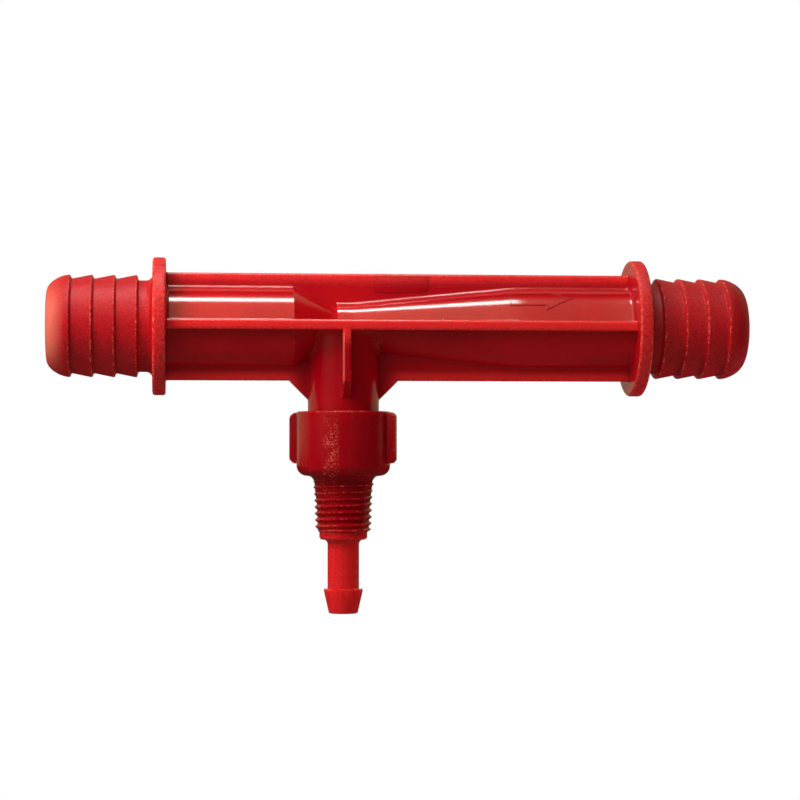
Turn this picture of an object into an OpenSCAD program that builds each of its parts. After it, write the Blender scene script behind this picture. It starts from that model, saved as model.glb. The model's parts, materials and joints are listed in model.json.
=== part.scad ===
// In-line venturi injector with hose barbs and a spring-loaded ball check in its suction port.
// The flow runs along +X, the suction port points to -Z.
// The origin is on the flow axis, under the inlet barb crest that is next to the flange.

/* [Hose barbs] */
// Radius of the barb crests
barb_crest_r = 11.1; // [10.8:0.05:11.6]
// Radius at the foot of each barb ramp
barb_valley_r = 10.3; // [9.9:0.05:10.6]
// Number of crests on each barb
barb_count = 4; // [2:1:6]
// Distance from crest to crest
barb_pitch = 4.8; // [3.5:0.05:6]
// Length of the round land on each crest
barb_land = 0.4; // [0.2:0.05:0.8]
// Run of the sloped back of each crest
barb_back = 0.3; // [0.1:0.05:0.6]
// Length from the first crest to the open end
nose_len = 4.7; // [4:0.1:7]
// Fullness of the rounded nose, larger is blunter
nose_power = 1.5; // [1.2:0.1:2.4]
// Width of the flat lip around the open end
lip_t = 0.3; // [0.1:0.05:0.8]
// Radius of the neck behind the barbs
neck_r = 9.95; // [9.4:0.05:10.2]
// Length of the neck, from the last crest to the flange
neck_len = 3.3; // [2:0.1:6]
// Fillet between neck and flange
neck_fillet = 1.4; // [0.5:0.1:1.9]

/* [Flanges] */
// Radius of the two flanges
flange_r = 15; // [13:0.1:18]
// Thickness of a flange
flange_t = 2.9; // [2:0.1:5]
// Rounding of the flange rims
flange_round = 0.6; // [0.2:0.1:0.9]

/* [Venturi tube] */
// Length between the two flanges
body_len = 101.9; // [90:0.1:130]
// Outer radius of the inlet and outlet stretches
tube_r = 8.75; // [8.2:0.05:9.3]
// Length of the straight inlet stretch
inlet_len = 27.5; // [20:0.1:35]
// Length of the converging cone
cone_len = 9.6; // [7:0.1:14]
// Outer radius at the small end of the converging cone
nozzle_outer_r = 4; // [3.6:0.05:4.8]
// Outer radius of the throat
throat_outer_r = 5.3; // [4.9:0.05:6]
// Length of the throat
throat_len = 3.6; // [3.2:0.1:6]
// Length of the diffuser
diffuser_len = 35.4; // [28:0.1:45]
// Fillet between tube and flange
tube_fillet = 0.8; // [0.3:0.1:1.5]
// Distance of the rib edges from the flow axis
rib_reach = 11.75; // [10.8:0.05:12.6]
// Thickness of the four ribs
rib_t = 2.25; // [1.4:0.05:3]
// Rounding of the rib edges
rib_round = 0.35; // [0.1:0.05:0.6]

/* [Flow bore] */
// Bore radius at the open ends
mouth_bore_r = 7; // [6.4:0.05:7.6]
// Bore radius at the start of the cone and the end of the diffuser
main_bore_r = 6.6; // [6:0.05:7]
// Bore radius of the nozzle
nozzle_bore_r = 2.3; // [1.6:0.05:2.8]
// Length of the straight land in the nozzle
nozzle_land = 1.2; // [0.6:0.1:2.5]
// Bore radius of the throat
throat_bore_r = 3.2; // [2.9:0.05:3.8]

/* [Suction stem] */
// Distance of the suction axis past the nozzle
suction_setback = 1.6; // [1.5:0.1:2.5]
// Bore radius of the suction passage into the throat
passage_r = 1.4; // [0.9:0.05:1.45]
// Outer radius of the stem
stem_r = 7.8; // [7.5:0.05:8.2]
// Leg of the 45 degree gussets between stem and lower rib
gusset_leg = 4.2; // [2:0.1:6]
// Thickness of the front and rear fins
fin_t = 1.85; // [1.2:0.05:3]
// Bare stem between gussets and cap
stem_bare = 2.5; // [1:0.1:6]
// Depth of the stem in the cap
stem_engage = 9.6; // [7:0.1:13]
// Radius of the check valve chamber
chamber_r = 4.3; // [3.8:0.05:4.8]
// Depth of the check valve chamber
chamber_depth = 13.4; // [11:0.1:14]

/* [Suction cap] */
// Wall of the cap
cap_wall = 2.35; // [2:0.05:4]
// Thickness of the cap's floor
cap_floor_t = 3.5; // [2.6:0.1:6]
// Rounding of the cap's lower rim
cap_round = 2.3; // [0.4:0.1:2.4]
// Rounding of the cap's upper rim
cap_top_round = 0.4; // [0.1:0.1:0.8]
// Radial clearance between stem and cap
cap_clear = 0.12; // [0.05:0.01:0.3]
// How far the wings stand out of the cap
ear_proud = 1.9; // [1:0.1:5]
// Thickness of the wings
ear_t = 2.8; // [1.6:0.1:4]
// Length of the wings
ear_len = 11.2; // [7:0.1:13]
// Drop of the wings below the cap's upper rim
ear_drop = 0.2; // [0.1:0.1:1.4]
// Rounding of the wing corners
ear_round = 1.5; // [0.4:0.1:2.4]
// Turn of the wings from the flow axis, in degrees
ear_turn = 22; // [0:1:90]

/* [Suction thread and small barb] */
// Length of the tapered thread
thread_len = 12.2; // [9:0.1:16]
// Crest radius of the thread next to the cap
thread_top_r = 6.35; // [6:0.05:6.7]
// Crest radius of the thread at its lower end
thread_end_r = 5.9; // [5.6:0.05:6.2]
// Fillet between cap and thread
thread_fillet = 1; // [0.2:0.1:1.2]
// Radius of the plain end below the thread
pilot_r = 5.25; // [5.15:0.05:5.5]
// Length of the plain end
pilot_len = 1.7; // [1.2:0.1:5]
// Rounding of the plain end
pilot_round = 0.7; // [0.2:0.1:0.8]
// Radius of the small barb's stem
tail_r = 3.45; // [3:0.05:3.55]
// Length of the small barb's stem
tail_len = 10.7; // [6:0.1:16]
// Fillet between the plain end and the small barb's stem
tail_fillet = 1; // [0.3:0.1:1.1]
// Crest radius of the small barb
tail_crest_r = 4.25; // [4:0.05:4.8]
// Length of the small barb's round land
tail_land = 0.5; // [0.2:0.05:0.8]
// Length of the small barb's taper
tail_taper_len = 4.9; // [3:0.1:8]
// Radius of the small barb's tip
tail_tip_r = 3.25; // [2.8:0.05:3.6]
// Rounding of the small barb's tip
tail_round = 0.5; // [0.2:0.1:0.9]
// Bore radius of the suction cap
tail_bore_r = 1.6; // [1.1:0.05:2]

/* [Check valve] */
// Radius of the ball
ball_r = 3; // [2.8:0.05:3.4]
// Gap between ball and seat
seat_clear = 0.05; // [0.02:0.01:0.2]
// How much wider the mouth of the seat is than the ball, on the radius
seat_rim = 0.3; // [0.1:0.05:0.6]
// Slope of the seat, in degrees
seat_angle = 45; // [40:1:50]
// Section diameter of the sealing ring
ring_d = 1.6; // [1.2:0.05:1.9]
// Gap between stem and cap floor, inside the sealing ring
floor_gap = 1; // [0.6:0.05:1.1]
// Clearance around the sealing ring
ring_clear = 0.02; // [0.01:0.01:0.1]
// Coil radius of the spring, at the middle of its wire
spring_r = 2.3; // [1.8:0.05:2.6]
// Wire diameter of the spring
spring_wire = 0.6; // [0.4:0.05:0.8]
// Turns of the spring, with its two closed ends
spring_turns = 6; // [4:1:9]
// Gap between the turns at the closed ends
coil_gap = 0.1; // [0.05:0.01:0.2]

/* [Hidden] */
$fn = 96;
moulding_red = [0.78, 0.08, 0.09];
arc_steps = 6;
nose_steps = 10;
wire_sides = 8;
rings_per_turn = 14;
over = 1;

// Stations along the flow
lip_r = mouth_bore_r + lip_t;
barb_len = neck_len + barb_land + (barb_count - 1) * barb_pitch + nose_len;
inlet_face_x = barb_land / 2 + neck_len;
tube_start_x = inlet_face_x + flange_t;
cone_start_x = tube_start_x + inlet_len;
nozzle_x = cone_start_x + cone_len;
throat_end_x = nozzle_x + throat_len;
diffuser_end_x = throat_end_x + diffuser_len;
tube_end_x = tube_start_x + body_len;
outlet_face_x = tube_end_x + flange_t;
inlet_end_x = inlet_face_x - barb_len;
outlet_end_x = outlet_face_x + barb_len;
suction_x = nozzle_x + suction_setback;

// Stations down the suction axis
gusset_end_z = -rib_reach - gusset_leg;
cap_top_z = gusset_end_z - stem_bare;
stem_end_z = cap_top_z - stem_engage;
chamber_top_z = stem_end_z + chamber_depth;
cap_floor_z = stem_end_z - floor_gap;
cap_base_z = cap_floor_z - cap_floor_t;
thread_end_z = cap_base_z - thread_len;
pilot_end_z = thread_end_z - pilot_len;
tail_back_z = pilot_end_z - tail_len;
tail_crest_z = tail_back_z - tail_land;
tail_end_z = tail_crest_z - tail_taper_len;
cap_bore_r = stem_r + cap_clear;
cap_r = cap_bore_r + cap_wall;

// Check valve: the ball lies in a conical seat
seat_mouth_r = ball_r + seat_rim;
ball_z = cap_floor_z - seat_mouth_r * tan(seat_angle) + (ball_r + seat_clear) / cos(seat_angle);
ring_mid_r = (chamber_r + stem_r) / 2;
spring_touch = ball_r + spring_wire / 2 + seat_clear;
spring_low_z = ball_z + sqrt(pow(spring_touch, 2) - pow(spring_r, 2));
spring_high_z = chamber_top_z - spring_wire / 2 - seat_clear;
dead_pitch = spring_wire + coil_gap;

// Points of an arc, with its angles in degrees
function arc(centre, r, from, to) =
    [for (i = [0:arc_steps]) let (a = from + (to - from) * i / arc_steps)
        centre + r * [cos(a), sin(a)]];

function reversed(list) = [for (i = [len(list) - 1:-1:0]) list[i]];

// Half profile of a hose barb as [radius, distance out of the flange face]
function nose_point(t) = [
    lip_r + (barb_crest_r - lip_r) * sqrt(1 - pow(t, nose_power)),
    barb_len - nose_len * (1 - t)];

function barb_points() = concat(
    arc([neck_r + neck_fillet, neck_fillet], neck_fillet, 270, 180),
    [for (i = [0:barb_count - 1]) let (s = neck_len + i * barb_pitch) each [
        [i == 0 ? neck_r : barb_valley_r, s - barb_back],
        [barb_crest_r, s],
        [barb_crest_r, s + barb_land]]],
    [for (i = [1:nose_steps]) nose_point(sin(90 * i / nose_steps))]);

// Half profile of the moulding as [radius, place along the flow]
function flange_points(x) = concat(
    arc([flange_r - flange_round, x + flange_round], flange_round, 270, 360),
    arc([flange_r - flange_round, x + flange_t - flange_round], flange_round, 0, 90));

function tube_points() = concat(
    arc([tube_r + tube_fillet, tube_start_x + tube_fillet], tube_fillet, 270, 180),
    [[tube_r, cone_start_x],
     [nozzle_outer_r, nozzle_x],
     [throat_outer_r, nozzle_x],
     [throat_outer_r, throat_end_x],
     [tube_r, diffuser_end_x]],
    arc([tube_r + tube_fillet, tube_end_x - tube_fillet], tube_fillet, 180, 90));

function moulding_points() = concat(
    [[0, inlet_end_x]],
    reversed([for (p = barb_points()) [p[0], inlet_face_x - p[1]]]),
    flange_points(inlet_face_x),
    tube_points(),
    flange_points(tube_end_x),
    [for (p = barb_points()) [p[0], outlet_face_x + p[1]]],
    [[0, outlet_end_x]]);

function bore_points() = [
    [0, inlet_end_x - over],
    [mouth_bore_r, inlet_end_x - over],
    [mouth_bore_r, inlet_face_x],
    [main_bore_r, cone_start_x],
    [nozzle_bore_r, nozzle_x - nozzle_land],
    [nozzle_bore_r, nozzle_x],
    [throat_bore_r, nozzle_x],
    [throat_bore_r, throat_end_x],
    [main_bore_r, diffuser_end_x],
    [mouth_bore_r, outlet_face_x],
    [mouth_bore_r, outlet_end_x + over],
    [0, outlet_end_x + over]];

// Turns a shape that was made along +Z to the flow axis
module along_flow() {
    rotate([0, 90, 0]) children();
}

module at_suction(z = 0) {
    translate([suction_x, 0, z]) children();
}

module rounded_bar(length, width, r) {
    square([length - 2 * r, width], center = true);
    square([length, width - 2 * r], center = true);
    for (x = [-1, 1], y = [-1, 1])
        translate([x * (length / 2 - r), y * (width / 2 - r)]) circle(r);
}

// Four ribs in a cross, from flange to flange
module ribs() {
    translate([tube_start_x, 0, 0]) rotate([90, 0, 90]) linear_extrude(body_len) {
        rounded_bar(2 * rib_reach, rib_t, rib_round);
        rounded_bar(rib_t, 2 * rib_reach, rib_round);
    }
}

// Plate across the stem whose lower corners slope to the stem at 45 degrees
module brace(reach, leg, thickness) {
    rotate([90, 0, 0]) linear_extrude(thickness, center = true)
        polygon([
            [-reach, 0],
            [-reach, gusset_end_z + leg],
            [-reach + leg, gusset_end_z],
            [reach - leg, gusset_end_z],
            [reach, gusset_end_z + leg],
            [reach, 0]]);
}

module suction_stem() {
    at_suction(stem_end_z) cylinder(r = stem_r, h = -stem_end_z);
    at_suction() brace(stem_r + gusset_leg, gusset_leg, rib_t);
    at_suction() rotate([0, 0, 90]) brace(rib_reach, rib_reach - stem_r, fin_t);
}

module injector_body() {
    color(moulding_red) difference() {
        union() {
            along_flow() rotate_extrude() polygon(moulding_points());
            ribs();
            suction_stem();
        }
        along_flow() rotate_extrude() polygon(bore_points());
        at_suction(chamber_top_z) cylinder(r = passage_r, h = -chamber_top_z);
        at_suction(stem_end_z - over) cylinder(r = chamber_r, h = chamber_depth + over);
    }
}

// Half profile of the cap, thread and small barb as [radius, height]
function cap_points() = concat(
    [[0, cap_top_z]],
    arc([cap_r - cap_top_round, cap_top_z - cap_top_round], cap_top_round, 90, 0),
    arc([cap_r - cap_round, cap_base_z + cap_round], cap_round, 0, -90),
    arc([thread_top_r + thread_fillet, cap_base_z - thread_fillet], thread_fillet, 90, 180),
    [[thread_end_r, thread_end_z], [pilot_r, thread_end_z]],
    arc([pilot_r - pilot_round, pilot_end_z + pilot_round], pilot_round, 0, -90),
    arc([tail_r + tail_fillet, pilot_end_z - tail_fillet], tail_fillet, 90, 180),
    [[tail_r, tail_back_z],
     [tail_crest_r, tail_back_z],
     [tail_crest_r, tail_crest_z]],
    arc([tail_tip_r - tail_round, tail_end_z + tail_round], tail_round, 0, -90),
    [[0, tail_end_z]]);

// Half profile of the cap's inside: stem bore, conical ball seat and suction bore
function cap_hollow_points() = [
    [0, cap_top_z + over],
    [cap_bore_r, cap_top_z + over],
    [cap_bore_r, cap_floor_z],
    [seat_mouth_r, cap_floor_z],
    [tail_bore_r, cap_floor_z - (seat_mouth_r - tail_bore_r) * tan(seat_angle)],
    [tail_bore_r, tail_end_z - over],
    [0, tail_end_z - over]];

module ring_groove() {
    rotate_extrude() translate([ring_mid_r, 0])
        square([ring_d + 2 * ring_clear, 2 * (ring_d - floor_gap)], center = true);
}

module cap_wings() {
    rotate([90, 0, -ear_turn]) linear_extrude(ear_t, center = true)
        translate([0, cap_top_z - ear_drop - ear_len / 2])
            rounded_bar(2 * (cap_r + ear_proud), ear_len, ear_round);
}

module suction_cap() {
    color(moulding_red) at_suction() difference() {
        union() {
            rotate_extrude() polygon(cap_points());
            cap_wings();
        }
        rotate_extrude() polygon(cap_hollow_points());
        translate([0, 0, cap_floor_z]) ring_groove();
    }
}

module check_ball() {
    color("ivory") at_suction(ball_z) sphere(ball_r);
}

// Height of the coil's middle line after a number of turns
function coil_z(turn) =
    turn < 1 ? spring_low_z + turn * dead_pitch
    : turn > spring_turns - 1 ? spring_high_z - (spring_turns - turn) * dead_pitch
    : spring_low_z + dead_pitch + (turn - 1)
        * (spring_high_z - spring_low_z - 2 * dead_pitch) / (spring_turns - 2);

module check_spring() {
    rings = spring_turns * rings_per_turn;
    points = [for (i = [0:rings], k = [0:wire_sides - 1]) let (
        a = 360 * i / rings_per_turn,
        b = 360 * k / wire_sides,
        r = spring_r + spring_wire / 2 * cos(b))
        [r * cos(a), r * sin(a), coil_z(i / rings_per_turn) + spring_wire / 2 * sin(b)]];
    sides = [for (i = [0:rings - 1], k = [0:wire_sides - 1]) let (
        a = i * wire_sides + k,
        b = i * wire_sides + (k + 1) % wire_sides)
        [a, a + wire_sides, b + wire_sides, b]];
    ends = [
        [for (k = [0:wire_sides - 1]) k],
        [for (k = [wire_sides - 1:-1:0]) rings * wire_sides + k]];
    color("silver") at_suction() polyhedron(points, concat(sides, ends));
}

module cap_o_ring() {
    color("dimgray") at_suction(stem_end_z - ring_d / 2)
        rotate_extrude() translate([ring_mid_r, 0]) circle(ring_d / 2 - ring_clear);
}

injector_body();
suction_cap();
check_ball();
check_spring();
cap_o_ring();
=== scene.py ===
# Studio scene of an in-line venturi injector: a red moulded body, a wing cap with a pipe thread,
# and a ball check inside.
# Pieces are modelled in millimetres along the CAD axes and shrunk to metres when they are finished.
import json
import math

import bmesh
import bpy
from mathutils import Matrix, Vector, noise


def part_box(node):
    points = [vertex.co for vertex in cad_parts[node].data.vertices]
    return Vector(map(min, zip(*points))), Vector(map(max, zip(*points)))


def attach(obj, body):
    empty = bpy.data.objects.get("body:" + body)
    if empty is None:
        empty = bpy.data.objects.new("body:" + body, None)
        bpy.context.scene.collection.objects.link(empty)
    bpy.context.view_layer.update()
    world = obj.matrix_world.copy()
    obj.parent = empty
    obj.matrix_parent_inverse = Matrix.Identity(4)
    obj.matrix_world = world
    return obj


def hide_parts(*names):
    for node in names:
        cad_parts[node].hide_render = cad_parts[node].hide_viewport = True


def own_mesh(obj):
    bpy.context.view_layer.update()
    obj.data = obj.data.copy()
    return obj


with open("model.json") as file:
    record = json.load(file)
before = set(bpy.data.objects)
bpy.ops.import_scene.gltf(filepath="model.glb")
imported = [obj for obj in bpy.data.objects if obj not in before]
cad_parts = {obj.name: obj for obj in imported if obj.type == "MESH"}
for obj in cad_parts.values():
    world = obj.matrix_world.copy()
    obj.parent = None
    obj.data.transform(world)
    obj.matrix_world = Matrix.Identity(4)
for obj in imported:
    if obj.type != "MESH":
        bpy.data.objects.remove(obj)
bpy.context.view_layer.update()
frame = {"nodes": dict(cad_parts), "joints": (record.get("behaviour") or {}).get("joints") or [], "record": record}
mm = 0.001
weldGap = 0.0005  # points closer than this are one
creaseAngle = 22  # degrees; a sharper edge is shaded as an edge and shows wear
bevelAngle = 50  # degrees; only sharper edges are rounded off
mounts = {m["name"]: m for m in frame["record"]["mounts"]}
bodyLow, bodyHigh = (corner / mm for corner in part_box("injector_body"))
capLow, capHigh = (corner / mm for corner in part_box("suction_cap"))
ballLow, ballHigh = (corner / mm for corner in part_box("check_ball"))
springLow, springHigh = (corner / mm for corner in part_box("check_spring"))
suctionX = (ballLow.x + ballHigh.x) / 2  # the suction port's axis
print("frame loaded, suction axis at x =", round(suctionX, 2), "mm")


# Modelling helpers

def pick(obj):
    if bpy.context.mode != "OBJECT":
        bpy.ops.object.mode_set(mode="OBJECT")
    bpy.ops.object.select_all(action="DESELECT")
    obj.select_set(True)
    bpy.context.view_layer.objects.active = obj


def startEdit():
    obj = bpy.context.active_object  # the primitive that was just added
    pick(obj)
    bpy.ops.object.mode_set(mode="EDIT")
    bpy.ops.mesh.select_all(action="SELECT")
    return obj


def closeMesh():
    bpy.ops.mesh.select_all(action="SELECT")
    bpy.ops.mesh.remove_doubles(threshold=weldGap)
    bpy.ops.mesh.normals_make_consistent(inside=False)
    bpy.ops.object.mode_set(mode="OBJECT")


def arc(centre, radius, start, end, steps):
    turns = [math.radians(start + (end - start) * k / steps) for k in range(steps + 1)]
    return [(centre[0] + radius * math.cos(a), centre[1] + radius * math.sin(a)) for a in turns]


def placeLoop(obj, ring):
    mesh = bmesh.from_edit_mesh(obj.data)
    for vert, place in zip([v for v in mesh.verts if v.select], ring):
        vert.co = place
    bmesh.update_edit_mesh(obj.data)


def loft(rings, endless=False):
    # a circle is shaped to the first ring, then extruded and shaped from ring to ring
    # an endless loft comes back to its first ring and has no end faces
    bpy.ops.mesh.primitive_circle_add(vertices=len(rings[0]), radius=1)
    obj = startEdit()
    placeLoop(obj, rings[0])
    if not endless:
        bpy.ops.mesh.edge_face_add()
    bpy.ops.mesh.select_all(action="SELECT")
    bpy.ops.mesh.select_mode(type="EDGE")
    for ring in rings[1:]:
        bpy.ops.mesh.extrude_edges_move()
        placeLoop(obj, ring)
    if not endless:
        bpy.ops.mesh.edge_face_add()
    bpy.ops.mesh.select_mode(type="VERT")
    closeMesh()
    return obj


def drawLine(points):
    # a plane is merged to one point and extruded from point to point
    bpy.ops.mesh.primitive_plane_add(size=1)
    obj = startEdit()
    bpy.ops.mesh.merge(type="CENTER")
    bpy.ops.transform.translate(value=points[0])
    for here, there in zip(points, points[1:]):
        bpy.ops.mesh.extrude_region_move(TRANSFORM_OT_translate={"value": Vector(there) - Vector(here)})
    return obj


def turn(profile, centre, axis, steps):
    obj = drawLine(profile)
    bpy.ops.mesh.select_all(action="SELECT")
    bpy.ops.mesh.spin(steps=steps, angle=2 * math.pi, center=centre, axis=axis, use_auto_merge=True)
    closeMesh()
    return obj


def roundCorners(obj, facts, below=math.inf):
    # rounds the edges that run front to back under a height, then softens every edge
    bpy.ops.mesh.select_all(action="DESELECT")
    mesh = bmesh.from_edit_mesh(obj.data)
    for edge in mesh.edges:
        here, there = (v.co for v in edge.verts)
        edge.select = max(here.z, there.z) < below and abs(here.y - there.y) > weldGap
    mesh.select_flush(True)
    bmesh.update_edit_mesh(obj.data)
    bpy.ops.mesh.bevel(offset=facts["corner"], segments=facts["cornerSteps"], affect="EDGES")
    bpy.ops.object.mode_set(mode="OBJECT")
    bpy.ops.object.modifier_add(type="BEVEL")
    soften = obj.modifiers[-1]
    soften.width, soften.segments, soften.limit_method = facts["round"], facts["roundSteps"], "ANGLE"
    soften.angle_limit = math.radians(bevelAngle)
    bpy.ops.object.modifier_apply(modifier=soften.name)


def combine(obj, tool, operation):
    pick(obj)
    bpy.ops.object.modifier_add(type="BOOLEAN")
    step = obj.modifiers[-1]
    step.operation, step.solver, step.object = operation, "EXACT", tool
    bpy.ops.object.modifier_apply(modifier=step.name)
    bpy.data.objects.remove(tool)


def markEdges(obj):
    # sharp outer edges are stored as an attribute, where the finish shows handling
    mesh = bmesh.new()
    mesh.from_mesh(obj.data)
    layer = mesh.verts.layers.float.new("edge")
    for vert in mesh.verts:
        bends = [e.calc_face_angle_signed(0) for e in vert.link_edges]
        vert[layer] = min(1, max(0, max(bends, default=0)) / math.radians(creaseAngle))
    mesh.to_mesh(obj.data)
    mesh.free()


def finishPiece(obj, name, material, body, node=None, smoothAngle=creaseAngle):
    pick(obj)
    obj.name = obj.data.name = name
    obj.scale = (mm, mm, mm)
    bpy.ops.object.transform_apply(location=True, rotation=True, scale=True)
    bpy.ops.object.shade_smooth_by_angle(angle=math.radians(smoothAngle))
    obj.data.materials.clear()
    obj.data.materials.append(material)
    if node:
        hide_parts(node)
    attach(obj, body)
    print("made", name, "with", len(obj.data.polygons), "faces")
    return obj


# Shader helpers

class Wire:
    # one value in a node tree, with plain maths on it

    def __init__(self, sheet, socket):
        self.sheet, self.socket = sheet, socket

    def maths(self, operation, first, second):
        return self.sheet.add("ShaderNodeMath", {"operation": operation}, {0: first, 1: second})

    def __add__(self, other):
        return self.maths("ADD", self, other)

    def __radd__(self, other):
        return self.maths("ADD", other, self)

    def __sub__(self, other):
        return self.maths("SUBTRACT", self, other)

    def __rsub__(self, other):
        return self.maths("SUBTRACT", other, self)

    def __mul__(self, other):
        return self.maths("MULTIPLY", self, other)

    def __rmul__(self, other):
        return self.maths("MULTIPLY", other, self)

    def __pow__(self, other):
        return self.maths("POWER", self, other)

    def __abs__(self):
        return self.maths("ABSOLUTE", self, 0)

    def ramp(self, low, high):
        # 0 below low, 1 above high, smooth between them
        return self.sheet.add("ShaderNodeMapRange", {"interpolation_type": "SMOOTHSTEP"},
                              {"Value": self, "From Min": low, "From Max": high})

    def span(self, low, high):
        # a ramp between two places in millimetres
        return self.ramp(low * mm, high * mm)

    def most(self, other):
        return self.maths("MAXIMUM", self, other)


class Sheet:
    # the node tree of one material or of the world

    def __init__(self, tree):
        self.tree = tree
        tree.nodes.clear()

    def add(self, kind, settings=None, sockets=None, output=0):
        node = self.tree.nodes.new(kind)
        for key, value in (settings or {}).items():
            setattr(node, key, value)
        for key, value in (sockets or {}).items():
            if isinstance(value, Wire):
                self.tree.links.new(value.socket, node.inputs[key])
            else:
                node.inputs[key].default_value = value
        return Wire(self, node.outputs[output]) if len(node.outputs) else node

    def noise(self, place, scale, detail=2, rough=0.5):
        return self.add("ShaderNodeTexNoise", None,
                        {"Vector": place, "Scale": scale, "Detail": detail, "Roughness": rough})

    def stretch(self, place, scale):
        return self.add("ShaderNodeMapping", None, {"Vector": place, "Scale": scale})

    def blend(self, amount, first, second):
        return self.add("ShaderNodeMix", {"data_type": "RGBA"}, {0: amount, 6: first, 7: second}, 2)

    def bump(self, height):
        return self.add("ShaderNodeBump", None, {"Height": height, "Distance": 1.0, "Strength": 1.0})

    def axes(self, place):
        split = self.add("ShaderNodeSeparateXYZ", None, {"Vector": place})
        return [Wire(self, socket) for socket in split.socket.node.outputs]


def newMaterial(name):
    material = bpy.data.materials.new(name)
    material.use_nodes = True
    sheet = Sheet(material.node_tree)
    return material, sheet, sheet.add("ShaderNodeTexCoord", output="Object")


def coverWith(sheet, shader):
    sheet.add("ShaderNodeOutputMaterial", None, {"Surface": shader})


# Finishes

redFinish = {
    "deep": (0.54, 0.001, 0.011, 1),
    "warm": (0.63, 0.004, 0.010, 1),
    "clouded": (0.3, 0.7),
    "pit": (0.20, 0.001, 0.004, 1),
    "pitted": (0.36, 0.58),
    "glossPits": 0.2,  # share of the pits that the gloss keeps
    "speckle": 0.5,  # how far the pits darken the colour
    "thick": (0.30, 0.0005, 0.006, 1),  # painted shade: a darker red laid on the suction stem, the thread and the cap
    "thin": (0.92, 0.026, 0.03, 1),  # painted glow: a paler red laid on the ribs, the flange rims and the tail, for light shining through them
    # the pale colour of scuffs and worn edges, also used for the painted highlights on the inlet nose and the
    # front fin
    "scuff": (0.84, 0.22, 0.15, 1),
    "wornEdge": (0.5, 0.9),
    "chipped": (0.52, 0.6),
    "glossWear": 0.25,  # share of the wear that the gloss keeps
    "wear": 0.7,
    "smoothRough": 0.16,
    "satinRough": 0.5,
    "flowRough": 0.08,
    "markRough": 0.2,
    "coat": 0.9,
    "coatRough": 0.11,
    "dull": 0.8,  # share of the coat taken off where the shade is painted
    "glow": 0.5,  # share of light that goes through the skin of the moulding
    "bleed": (1, 0.1, 0.07),  # how far red, green and blue spread under the skin
    "bleedDepth": 0.0025,
    "grain": 9e-6,  # heights in metres: of the satin grain,
    "glossGrain": 4e-7,  # of what is left of it in the gloss,
    "peel": 3e-6,  # of the slow waves in the gloss,
    "markHeight": 8e-6,  # and of worn and scuffed places
}
redNoise = {  # scale, detail and roughness
    "cloud": (70, 3),
    "flow": (260, 3, 0.6),
    "grain": (2000, 3, 0.7),
    "peel": (420, 2),
    "chips": (1400, 3, 0.7),
}
flowStretch = (0.25, 1, 1)


def redMoulding(name, satinOf, scuffAndHighlightOf, paintedLightOf, glow=redFinish["glow"]):
    # the first function gives how far a place is satin, the second how far it is scuffed or painted with a
    # highlight, the third where glow is painted as a paler red and shade as a darker red
    look = redFinish
    material, sheet, place = newMaterial(name)
    satin = satinOf(sheet, place)
    cloud = sheet.noise(place, *redNoise["cloud"])
    flow = sheet.noise(sheet.stretch(place, flowStretch), *redNoise["flow"])
    grain = sheet.noise(place, *redNoise["grain"])
    peel = sheet.noise(place, *redNoise["peel"])
    chips = sheet.noise(place, *redNoise["chips"])
    edge = sheet.add("ShaderNodeAttribute", {"attribute_name": "edge"}, None, 2)
    worn = (edge.ramp(*look["wornEdge"]) * chips.ramp(*look["chipped"])
            * (look["glossWear"] + satin * (1 - look["glossWear"])))
    # the marks take in real wear and scuffs, and also the painted highlights
    marksAndHighlights = (worn * look["wear"]).most(scuffAndHighlightOf(sheet, place))
    pitShare = (look["glossPits"] + satin * (1 - look["glossPits"])) * look["speckle"]
    pitted = (1 - grain.ramp(*look["pitted"])) * pitShare
    # glow is painted as a paler red on thin parts, and shade as a darker red on the stem, thread and cap
    thin, thick = paintedLightOf(sheet, place)
    tone = sheet.blend(cloud.ramp(*look["clouded"]) * (1 - pitted), look["deep"], look["warm"])
    tone = sheet.blend(thin, tone, look["thin"])
    tone = sheet.blend(thick, tone, look["thick"])
    tone = sheet.blend(pitted, tone, look["pit"])
    rough = (look["smoothRough"] + satin * (look["satinRough"] - look["smoothRough"])
             + (flow - 0.5) * look["flowRough"] + marksAndHighlights * look["markRough"])
    height = (grain * (satin * look["grain"] + look["glossGrain"]) + peel * look["peel"]
              + marksAndHighlights * look["markHeight"] * chips)
    coverWith(sheet, sheet.add("ShaderNodeBsdfPrincipled", None, {
        "Base Color": sheet.blend(marksAndHighlights, tone, look["scuff"]), "Roughness": rough,
        "Normal": sheet.bump(height), "IOR": 1.5,
        "Coat Weight": (1 - satin) * (1 - thick * look["dull"]) * look["coat"],
        "Coat Roughness": look["coatRough"], "Subsurface Weight": glow,
        "Subsurface Radius": look["bleed"], "Subsurface Scale": look["bleedDepth"]}))
    return material


# Ribbed sections, shared by the tube and the suction stem

sectorSteps = {"edge": 5, "flank": 4, "foot": 4, "tube": 6}


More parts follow.
